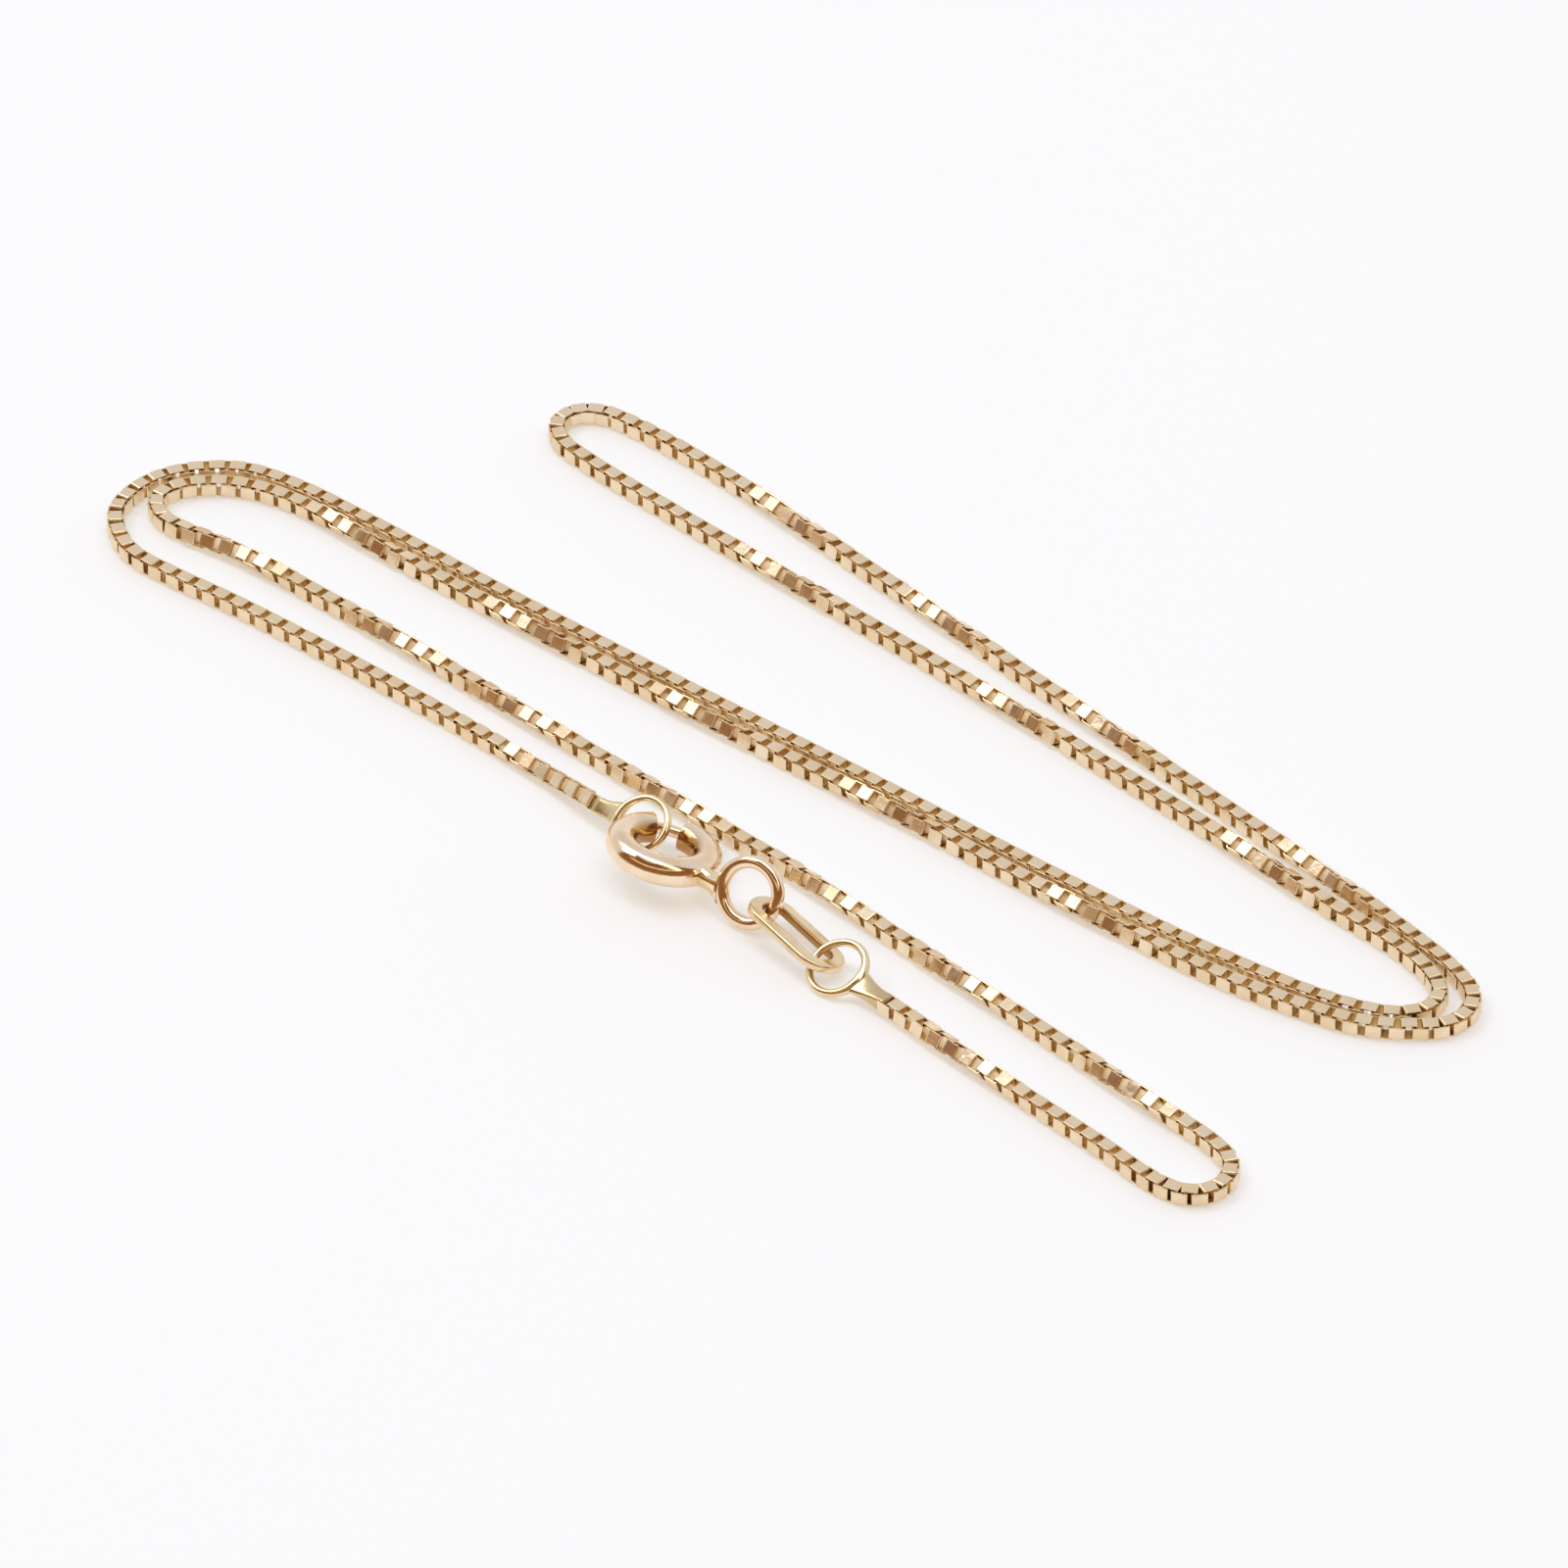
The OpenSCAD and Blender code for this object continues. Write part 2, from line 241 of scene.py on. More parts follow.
@dataclass(frozen=True)
class OpalSheet:
    """Opal acrylic sheet, sanded matt, with a faint warm glow painted into it.

    The painted glow, which no lamp casts, keeps the soft shadows on it light and warm, and its
    bluish colour keeps the open sheet white. Its sanded grain is finer than the picture shows, so it
    is drawn coarser.
    """

    name: str = "opal_acrylic_sanded"
    colour: str = "#C9D8E8"
    painted_glow: str = "#B5AA9E"
    roughness: float = 0.9
    gloss: float = 0.1
    grain_mm: float = 0.6
    grain_depth: float = 0.05
    grain_height_mm: float = 0.02

    def material(self) -> bpy.types.Material:
        """Build the sheet's node material.

        Returns:
            The material, nearly plain, with a faint grain.
        """
        mat = bpy.data.materials.new(self.name)
        mat.use_nodes = True
        tree = mat.node_tree
        tree.nodes.clear()
        place = add_node(tree, "ShaderNodeTexCoord")
        grain = add_node(tree, "ShaderNodeTexNoise",
                         values={"Scale": 1 / (self.grain_mm * MM), "Detail": 2.0},
                         links={"Vector": place.outputs["Object"]})
        bump = add_node(tree, "ShaderNodeBump",
                        values={"Strength": self.grain_depth, "Distance": self.grain_height_mm * MM},
                        links={"Height": grain.outputs["Fac"]})
        # Painted glow: the sheet glows though no lamp lights it, so that shadows on it stay light and warm
        sheet = add_node(tree, "ShaderNodeBsdfPrincipled",
                         values={"Base Color": linear(self.colour), "Roughness": self.roughness,
                                 "Specular IOR Level": self.gloss, "Emission Color": linear(self.painted_glow),
                                 "Emission Strength": 1.0},
                         links={"Normal": bump.outputs["Normal"]})
        add_node(tree, "ShaderNodeOutputMaterial", links={"Surface": sheet.outputs["BSDF"]})
        return mat


class Sculpt:
    """A mesh that grows by closed skins, in millimetres."""

    def __init__(self) -> None:
        """Start with no points."""
        self.points: list[np.ndarray] = []
        self.faces: list[list[int]] = []
        self.count = 0

    def add(self, points: np.ndarray, faces: list[list[int]]) -> None:
        """Add points and the faces between them.

        Args:
            points: corner points.
            faces: corner numbers of each face, counted from the first of these points.
        """
        self.points.append(points)
        self.faces.extend([[corner + self.count for corner in face] for face in faces])
        self.count += len(points)

    def add_closed(self, points: np.ndarray, faces: list[list[int]]) -> None:
        """Add a closed skin, turned so that its faces look outward.

        Args:
            points: corner points.
            faces: corner numbers of each face, which all run the same way round.
        """
        volume = sum(float(points[f[0]] @ np.cross(points[f[k]], points[f[k + 1]]))
                     for f in faces for k in range(1, len(f) - 1))
        self.add(points, [face[::-1] for face in faces] if volume < 0 else faces)

    def skin(self, rows: np.ndarray, ring: bool = False) -> None:
        """Lay a skin over closed rows of points.

        Args:
            rows: points as rows by columns by three, with an even number of columns.
            ring: whether the last row joins the first; if not, both get an end face.
        """
        n, m = rows.shape[:2]
        faces = [[i * m + j, i * m + (j + 1) % m, (i + 1) % n * m + (j + 1) % m, (i + 1) % n * m + j]
                 for i in range(n if ring else n - 1) for j in range(m)]
        if not ring:
            last = (n - 1) * m
            for j in range(m // 2):
                strip = list(dict.fromkeys([j, j + 1, m - 1 - j, (m - j) % m]))
                faces.append(strip[::-1])
                faces.append([last + corner for corner in strip])
        self.add_closed(rows.reshape(-1, 3), faces)

    def piece(self, name: str, material: bpy.types.Material, slot: str, node: str,
              body: Body = Body.NECKLACE, sharp_degrees: float | None = None) -> bpy.types.Object:
        """Turn the mesh into a finished piece on a body.

        Args:
            name: the piece's name.
            material: its finish.
            slot: the record's material slot that it stands for; not used.
            node: the solid whose place it takes.
            body: the body that it moves with.
            sharp_degrees: angle over which an edge stays sharp, or None where all are smooth.

        Returns:
            The new object.
        """
        mesh = bpy.data.meshes.new(name)
        mesh.from_pydata((np.vstack(self.points) * MM).tolist(), [], self.faces)
        mesh.polygons.foreach_set("use_smooth", [True] * len(mesh.polygons))
        mesh.materials.append(material)
        mesh.update()
        if sharp_degrees is not None:
            mesh.set_sharp_from_angle(angle=math.radians(sharp_degrees))
        piece = bpy.data.objects.new(name, mesh)
        bpy.context.scene.collection.objects.link(piece)
        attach(piece, body.value)
        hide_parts(node)
        LOG.info("%s: %d faces, for %s", name, len(self.faces), node)
        return piece


def mark_shade_and_solder(piece: bpy.types.Object, shares: list[float]) -> None:
    """Note on each point of a piece its share of the darker colour: painted shade, and the duller solder
    tone on webs.
    """
    layer = piece.data.attributes.new(SHADE_AND_SOLDER, "FLOAT", "POINT")
    layer.data.foreach_set("value", shares)


@dataclass
class ChainPath:
    """Smooth middle line of the chain, through the route's points."""

    route: list = field(default_factory=lambda: CHAIN_ROUTE)
    rest_height: float = 0.45
    start_lift: float = 0.45
    finish_lift: float = 0.15
    step: float = 0.05
    bend_reach: float = 0.6
    bend_chord: float = 0.3
    shortest_strand: float = 5.0

    def __post_init__(self) -> None:
        """Work out the dense line and the length along it."""
        points = np.array([[x, y, self.rest_height] for x, y in self.route])
        points[0, 2] += self.start_lift
        points[-1, 2] += self.finish_lift
        self.ends = points[0], points[-1]
        self.line = self._smooth(points)
        self.along = np.concatenate([[0], np.cumsum(np.linalg.norm(np.diff(self.line, axis=0), axis=1))])
        self.length = float(self.along[-1])

    def _smooth(self, points: np.ndarray) -> np.ndarray:
        """Run a centripetal Catmull-Rom curve through the points.

        Args:
            points: the route's points.

        Returns:
            Close points along the curve.
        """
        ends = [2 * points[0] - points[1], *points, 2 * points[-1] - points[-2]]
        dense = []
        for a, b, c, d in zip(ends[:-3], ends[1:-2], ends[2:-1], ends[3:]):
            gaps = [math.sqrt(np.linalg.norm(q - p)) for p, q in ((a, b), (b, c), (c, d))]
            t0, t1, t2, t3 = np.cumsum([0.0] + gaps)
            count = max(2, int(np.linalg.norm(c - b) / self.step))
            t = np.linspace(t1, t2, count, endpoint=False)[:, None]
            ab = (t1 - t) / (t1 - t0) * a + (t - t0) / (t1 - t0) * b
            bc = (t2 - t) / (t2 - t1) * b + (t - t1) / (t2 - t1) * c
            cd = (t3 - t) / (t3 - t2) * c + (t - t2) / (t3 - t2) * d
            abc = (t2 - t) / (t2 - t0) * ab + (t - t0) / (t2 - t0) * bc
            bcd = (t3 - t) / (t3 - t1) * bc + (t - t1) / (t3 - t1) * cd
            dense.append((t2 - t) / (t2 - t1) * abc + (t - t1) / (t2 - t1) * bcd)
        return np.vstack([*dense, points[-1:]])

    def point(self, s: float) -> np.ndarray:
        """Give the point at a length along the line."""
        return np.array([np.interp(s, self.along, self.line[:, k]) for k in range(3)])

    def chord(self, s: float, reach: float) -> tuple[np.ndarray, np.ndarray]:
        """Lay a straight chord across a stretch of the line.

        Args:
            s: length along the line at the middle of the stretch.
            reach: how far the stretch runs to each side.

        Returns:
            The chord's middle and its direction.
        """
        low, high = self.point(max(s - reach, 0.0)), self.point(min(s + reach, self.length))
        return (low + high) / 2, unit(high - low)

    def bend(self, s: float) -> float:
        """Measure how the line curves.

        Args:
            s: length along the line.

        Returns:
            The curvature there, in radians a millimetre.
        """
        before = self.chord(s - self.bend_reach, self.bend_chord)[1]
        after = self.chord(s + self.bend_reach, self.bend_chord)[1]
        return math.acos(float(np.clip(before @ after, -1, 1))) / (2 * self.bend_reach)

    def strands(self) -> list[tuple[float, float]]:
        """Split the line where it turns back along X, without the shortest stretches.

        Returns:
            The lengths along the line at which each strand starts and ends.
        """
        slope = np.sign(np.diff(self.line[:, 0]))
        turns = [float(self.along[i + 1]) for i in np.flatnonzero(slope[:-1] * slope[1:] < 0)]
        breaks = [0.0, *turns, self.length]
        return [(a, b) for a, b in zip(breaks[:-1], breaks[1:]) if b - a > self.shortest_strand]

    def where(self, x: float, strand: tuple[float, float]) -> float:
        """Find the length along one strand at which the line passes an x.

        Args:
            x: the place wanted.
            strand: lengths along the line at which the strand starts and ends.

        Returns:
            The length along the line.
        """
        inside = (self.along >= strand[0]) & (self.along <= strand[1])
        nearest = np.abs(self.line[inside, 0] - x).argmin()
        return float(self.along[inside][nearest])


@dataclass
class BoxLink:
    """One link: a strip folded into a square loop, seen from its side.

    The shares of painted shade, which darkens the gaps between links, are for the section's points,
    in the order that section() lists them: none on the outer face, all of it on the inner one.
    """

    length: float = 0.85
    height: float = 0.9
    strip_width: float = 0.68
    strip_thickness: float = 0.1
    corner_radius: float = 0.12
    edge_radius: float = 0.035
    corner_steps: int = 4
    shade_shares: tuple[float, ...] = (0.0, 0.3, 0.9, 1.0, 1.0, 0.9, 0.3, 0.0)

    def loop(self) -> tuple[np.ndarray, np.ndarray]:
        """Trace the strip's outer face round the loop.

        Returns:
            Points in the plane of length and height, and the outward direction at each.
        """
        points, outward = [], []
        reach = np.array([self.length, self.height]) / 2 - self.corner_radius
        for corner, sides in enumerate(((1, 1), (-1, 1), (-1, -1), (1, -1))):
            for step in range(self.corner_steps + 1):
                angle = math.pi / 2 * (corner + step / self.corner_steps)
                away = np.array([math.cos(angle), math.sin(angle)])
                points.append(reach * sides + self.corner_radius * away)
                outward.append(away)
        return np.array(points), np.array(outward)

    def section(self) -> list[tuple[float, float, float, float]]:
        """List the strip's section: sideways, inward, and its normal sideways and outward."""
        half, thick, edge = self.strip_width / 2, self.strip_thickness, self.edge_radius
        return [(half - edge, 0.0, 0.0, 1.0), (half, edge, 1.0, 0.0),
                (half, thick - edge, 1.0, 0.0), (half - edge, thick, 0.0, -1.0),
                (edge - half, thick, 0.0, -1.0), (-half, thick - edge, -1.0, 0.0),
                (-half, edge, -1.0, 0.0), (edge - half, 0.0, 0.0, 1.0)]

    def mesh(self) -> tuple[np.ndarray, np.ndarray, list[list[int]]]:
        """Build one link about its own middle.

        Returns:
            Points, normals and faces. X runs along the chain and Z out of the flat faces.
        """
        points, normals = [], []
        section = self.section()
        for spot, away in zip(*self.loop()):
            for side, inward, lean, out in section:
                inner = spot - inward * away
                points.append([inner[0], side, inner[1]])
                normals.append([out * away[0], lean, out * away[1]])
        n, m = len(points) // len(section), len(section)
        faces = [[i * m + j, i * m + (j + 1) % m, (i + 1) % n * m + (j + 1) % m, (i + 1) % n * m + j]
                 for i in range(n) for j in range(m)]
        return np.array(points), np.array(normals), faces


@dataclass
class ChainTurn:
    """A place where the chain turns about its own line: its strand, its x and how far it turns."""

    strand: int
    x: float
    hand: Hand
    degrees: float = 90.0
    length: float = 9.6


# Turns of the chain about itself, by strand, from the clasp round to the tag link
CHAIN_TURNS = [
    ChainTurn(1, -9.8, Hand.RIGHT, 45.0, 3.5),
    ChainTurn(3, 24.6, Hand.RIGHT), ChainTurn(3, 7.2, Hand.RIGHT), ChainTurn(3, -9.1, Hand.RIGHT),
    ChainTurn(4, -12.3, Hand.RIGHT), ChainTurn(4, -0.5, Hand.RIGHT), ChainTurn(4, 11.6, Hand.RIGHT),
    ChainTurn(4, 27.3, Hand.RIGHT),
    ChainTurn(5, 20.6, Hand.RIGHT), ChainTurn(5, 7.6, Hand.RIGHT), ChainTurn(5, -4.3, Hand.RIGHT),
    ChainTurn(5, -15.8, Hand.RIGHT), ChainTurn(5, -27.8, Hand.RIGHT),
    ChainTurn(6, -32.1, Hand.LEFT), ChainTurn(6, -20.9, Hand.LEFT), ChainTurn(6, -12.1, Hand.LEFT),
    ChainTurn(6, -1.5, Hand.LEFT), ChainTurn(6, 9.0, Hand.LEFT), ChainTurn(6, 18.8, Hand.LEFT),
    ChainTurn(6, 30.4, Hand.LEFT),
    ChainTurn(7, 22.7, Hand.LEFT),
]


@dataclass
class BoxChain:
    """The whole chain: single links that cross and interlock along the path.

    On a bend the links slide together, and each one sways a little from its neighbours. A turn
    runs evenly for the most part and eases in and out for the rest.
    """

    path: ChainPath = field(default_factory=ChainPath)
    link: BoxLink = field(default_factory=BoxLink)
    pitch: float = 0.59
    bend_closes: float = 1.25
    start_roll: float = -45.0
    even_turning: float = 0.75
    sway_degrees: float = 1.0
    sway_along: float = 0.008
    pieces: int = 4
    seed: int = 7

    def spacing(self) -> np.ndarray:
        """Set the links out along the line, closer together on a bend.

        Returns:
            The length along the line at each link's middle; their number is even.
        """
        half_width = self.link.strip_width / 2
        spots = [self.link.length / 2]
        while spots[-1] < self.path.length:
            tilt = self.path.bend(spots[-1]) * self.pitch
            spots.append(spots[-1] + self.pitch - self.bend_closes * half_width * math.sin(tilt))
        finish = self.path.length - self.link.length / 2
        spots = np.array([s for s in spots if s < finish + self.pitch / 2])
        spots = spots[:len(spots) // 2 * 2]
        return spots[0] + (spots - spots[0]) * (finish - spots[0]) / (spots[-1] - spots[0])

    def roll(self, s: float, turns: list[tuple[float, ChainTurn]]) -> float:
        """Add up how far the chain has turned about itself at a place.

        Args:
            s: length along the line.
            turns: each turn with the length along the line at its middle.

        Returns:
            The angle in radians.
        """
        total = math.radians(self.start_roll)
        for middle, turn in turns:
            share = min(max((s - middle) / turn.length + 0.5, 0.0), 1.0)
            eased = share * share * (3 - 2 * share)
            eased = self.even_turning * share + (1 - self.even_turning) * eased
            total += turn.hand.value * math.radians(turn.degrees) * eased
        return total

    def support(self, roll: float) -> float:
        """Work out how high the chain lies when it is rolled by an angle.

        Args:
            roll: the angle in radians.

        Returns:
            The height of its middle over the surface.
        """
        across, down = abs(math.sin(roll)), abs(math.cos(roll))
        tall, wide = self.link.height / 2, self.link.strip_width / 2
        return max(tall * down + wide * across, wide * down + tall * across)

    def places(self) -> list[tuple[np.ndarray, np.ndarray]]:
        """Set each link along the line.

        Returns:
            The middle of each link and its three axes as the rows of a matrix.
        """
        rng = np.random.default_rng(self.seed)
        strands = self.path.strands()
        turns = [(self.path.where(turn.x, strands[turn.strand - 1]), turn) for turn in CHAIN_TURNS]
        placed = []
        for number, spot in enumerate(self.spacing()):
            s = spot + rng.normal(0, self.sway_along)
            middle, heading = self.path.chord(s, self.link.length / 2)
            roll = self.roll(s, turns)
            middle[2] += self.support(roll) - self.link.height / 2
            side = unit(np.cross([0.0, 0.0, 1.0], heading))
            up = np.cross(heading, side)
            sway = rng.normal(0, self.sway_degrees, 3)
            roll += math.radians(sway[0]) + math.pi / 2 * (number % 2)
            across = math.cos(roll) * side + math.sin(roll) * up
            out = math.cos(roll) * up - math.sin(roll) * side
            leaned = turn_matrix((sway[1], "Y"), (sway[2], "Z"))
            placed.append((middle, leaned @ np.array([heading, across, out])))
        return placed

    def settle(self, points: np.ndarray) -> np.ndarray:
        """Shift a link the little that brings it onto the surface and within the solids' box.

        Args:
            points: the link's points.

        Returns:
            The points, moved together.
        """
        low, high = (np.array(corner) / MM for corner in CAD_BOX)
        under = np.maximum(low - points.min(axis=0), 0.0)
        over = np.maximum(points.max(axis=0) - high, 0.0)
        return points + under - over

    def build(self, finish: bpy.types.Material) -> list[bpy.types.Object]:
        """Build the links in joined pieces.

        Args:
            finish: the chain's material.

        Returns:
            The pieces, which together stand for the chain's solid.
        """
        points, normals, faces = self.link.mesh()
        links = self.places()
        LOG.info("chain: %d links along %.1f mm", len(links), self.path.length)
        made = []
        for number, group in enumerate(np.array_split(np.arange(len(links)), self.pieces)):
            sculpt = Sculpt()
            for i in group:
                sculpt.add(self.settle(points @ links[i][1] + links[i][0]), faces)
            piece = sculpt.piece(f"chain_links_{number + 1}", finish, "gold_chain", "chain")
            turned = np.vstack([normals @ links[i][1] for i in group])
            piece.data.normals_split_custom_set_from_vertices(turned.tolist())
            # Painted shade on the inner faces of the links, which draws the dark gaps
            shares = self.link.shade_shares
            mark_shade_and_solder(piece, list(shares) * (len(points) // len(shares) * len(group)))
            made.append(piece)
        return made


@dataclass(frozen=True)
class Lean:
    """How a ring leans: its tilt from level, and the direction its upper face turns to."""

    tilt: float
    toward: float

    def matrix(self) -> np.ndarray:
        """Give the ring's own axes as the columns of a matrix."""
        return turn_matrix((self.toward, "Z"), (self.tilt, "Y"))

    def in_plane(self, v: np.ndarray) -> np.ndarray:
        """Give the direction in the ring's plane that points nearest to v."""
        axis = self.matrix()[:, 2]
        return unit(v - axis * (v @ axis))

    def resting(self, radius: float, wire: float, floor_gap: float = 0.01) -> float:
        """Give the height of the ring's centre when its wire rests on the surface."""
        return radius * math.sin(math.radians(self.tilt)) + wire + floor_gap


@dataclass
class WireRing:
    """A ring of round wire."""

    place: np.ndarray
    lean: Lean
    radius: float
    wire: float
    around: int = 96
    section: int = 24

    def angle_of(self, v: np.ndarray) -> float:
        """Give the angle, in degrees, at which the wire passes nearest to a direction."""
        across, along, _ = self.lean.matrix().T
        return math.degrees(math.atan2(v @ along, v @ across))

    def circle(self, degrees: float, wire: float) -> np.ndarray:
        """Trace the section of the wire.

        Args:
            degrees: the angle round the ring.
            wire: the wire's radius there.

        Returns:
            Points round the wire.
        """
        across, along, axis = self.lean.matrix().T
        out = math.cos(math.radians(degrees)) * across + math.sin(math.radians(degrees)) * along
        turn = np.linspace(0, 2 * math.pi, self.section, endpoint=False)[:, None]
        return self.place + self.radius * out + wire * (np.cos(turn) * out + np.sin(turn) * axis)

    def add_to(self, sculpt: Sculpt, solder_at: float, swell: float, spread: float = 34.0) -> None:
        """Add the ring to a mesh, a little thicker where solder has run along it.

        Args:
            sculpt: the mesh that gets the ring.
            solder_at: angle of the solder round the ring.
            swell: how much thicker the wire is there, as a share.
            spread: angle over which the thickening fades.
        """
        rows = []
        for degrees in np.linspace(0, 360, self.around, endpoint=False):
            off = (degrees - solder_at + 180) % 360 - 180
            rows.append(self.circle(degrees, self.wire * (1 + swell * math.exp(-(off / spread) ** 2))))
        sculpt.skin(np.array(rows), ring=True)


@dataclass
class EndRing:
    """A ring at one end of the chain, with the web of solder that floods the last link.

    The web starts inside the flooded link, runs straight out of it and bends to the ring. On its
    way it widens to the arc that the solder covers, flattens to the wire and rounds off.
    """

    name: str
    ring: WireRing
    chain_end: np.ndarray
    link_axes: np.ndarray
    flooded_links: int
    half_link: float = 0.42
    pitch: float = BoxChain.pitch
    flooded: float = 0.35
    straight: float = 0.3
    solder_half: float = 34.0
    swell: float = 0.4
    inside: float = 0.12
    wire_cover: float = 0.95
    widens: float = 2.4
    flattens: float = 0.9
    squareness: tuple[float, float] = (6.0, 2.0)
    rounds: float = 0.7
    shade_and_solder_fades: float = 3.0
    columns: int = 32
    rows: int = 26

    def outline(self, wide: float, high: float, power: float, roll: float) -> np.ndarray:
        """Trace a rounded outline.

        Args:
            wide: half width.
            high: half height.
            power: two for an ellipse, more for a squarer outline.
            roll: turn of the outline in radians.

        Returns:
            Sideways and upward place of each point.
        """
        turn = np.linspace(0, 2 * math.pi, self.columns, endpoint=False)
        x = wide * np.sign(np.cos(turn)) * np.abs(np.cos(turn)) ** (2 / power)
        y = high * np.sign(np.sin(turn)) * np.abs(np.sin(turn)) ** (2 / power)
        c, s = math.cos(roll), math.sin(roll)
        return np.stack([c * x - s * y, s * x + c * y], axis=1)

    def outward(self, near: np.ndarray) -> np.ndarray:
        """Give the chain's direction at its end, towards a point on the ring."""
        return self.link_axes[0] * np.sign(self.link_axes[0] @ (near - self.chain_end))

    def web(self, toward_chain: np.ndarray) -> np.ndarray:
        """Shape the web: as square as the link at the chain, a flat fan along the ring's wire.

        Args:
            toward_chain: direction from the ring's centre to the chain, in the ring's plane.

        Returns:
            Points as rows by columns by three.
        """
        ring = self.ring
        near = ring.place + (ring.radius - self.inside) * toward_chain
        outward = self.outward(near)
        last = self.chain_end + outward * self.pitch * self.flooded_links
        first = last - outward * self.flooded
        elbow = last + outward * self.straight
        reach = ring.radius * math.sin(math.radians(self.solder_half))
        begins = self.flooded / (self.flooded + np.linalg.norm(near - last))
        square, rounded = self.squareness
        rows, link_roll = [], None
        for t in np.linspace(0.0, 1.0, self.rows):
            spine = (1 - t) ** 2 * first + 2 * t * (1 - t) * elbow + t * t * near
            run = unit((1 - t) * (elbow - first) + t * (near - elbow))
            side = unit(np.cross(ring.lean.matrix()[:, 2], run))
            up = np.cross(run, side)
            if link_roll is None:
                across = self.link_axes[1]
                link_roll = math.remainder(math.atan2(across @ up, across @ side), math.pi / 2)
            share = max(0.0, (t - begins) / (1 - begins))
            wide = self.half_link + (reach - self.half_link) * share ** self.widens
            high = self.half_link + (ring.wire * self.wire_cover - self.half_link) * share ** self.flattens
            power = square + (rounded - square) * share ** self.rounds
            flat = self.outline(wide, high, power, link_roll * (1 - share ** 2))
            sag = ring.radius - np.sqrt(ring.radius ** 2 - flat[:, :1] ** 2)
            rows.append(spine + flat[:, :1] * side + flat[:, 1:] * up - toward_chain * sag * share ** 2)
        return np.array(rows)

    def build(self, finish: bpy.types.Material) -> bpy.types.Object:
        """Build the ring and the web as one piece.

        Args:
            finish: the solder-washed gold.

        Returns:
            The piece.
        """
        sculpt = Sculpt()
        toward_chain = self.ring.lean.in_plane(self.chain_end - self.ring.place)
        self.ring.add_to(sculpt, self.ring.angle_of(toward_chain), self.swell)
        outward = self.outward(self.ring.place)
        heading, across, out = self.link_axes
        link = BoxLink()
        points, _, faces = link.mesh()
        for number in range(self.flooded_links):
            across, out = out, -across
            middle = self.chain_end + outward * (self.pitch * (number + 1) - link.length / 2)
            sculpt.add(points @ np.array([heading, across, out]) + middle, faces)
        on_ring = sculpt.count
        web = self.web(toward_chain)
        sculpt.skin(web)
        piece = sculpt.piece(self.name, finish, "gold_solder", self.name.removesuffix("_soldered"))
        # Darker, duller colour on the web, strongest where it leaves the chain: partly the solder's own
        # tone, partly painted shade at the join
        shares = np.repeat(1 - np.linspace(0.0, 1.0, self.rows) ** self.shade_and_solder_fades, self.columns)
        mark_shade_and_solder(piece, [0.0] * on_ring + shares.tolist())
        return piece


@dataclass
class CaseFrame:
    """Where the clasp's case lies: angle 0 is the middle of its opening."""

    place: np.ndarray
    lean: Lean
    radius: float = 2.22
    spin: float = 45.5

    def spot(self, degrees: float, out: float, up: float = 0.0) -> np.ndarray:
        """Give the point at an angle round the case, out from its centre and up its axis."""
        angle = math.radians(degrees + self.spin)
        return self.place + self.lean.matrix() @ np.array([out * math.cos(angle), out * math.sin(angle), up])


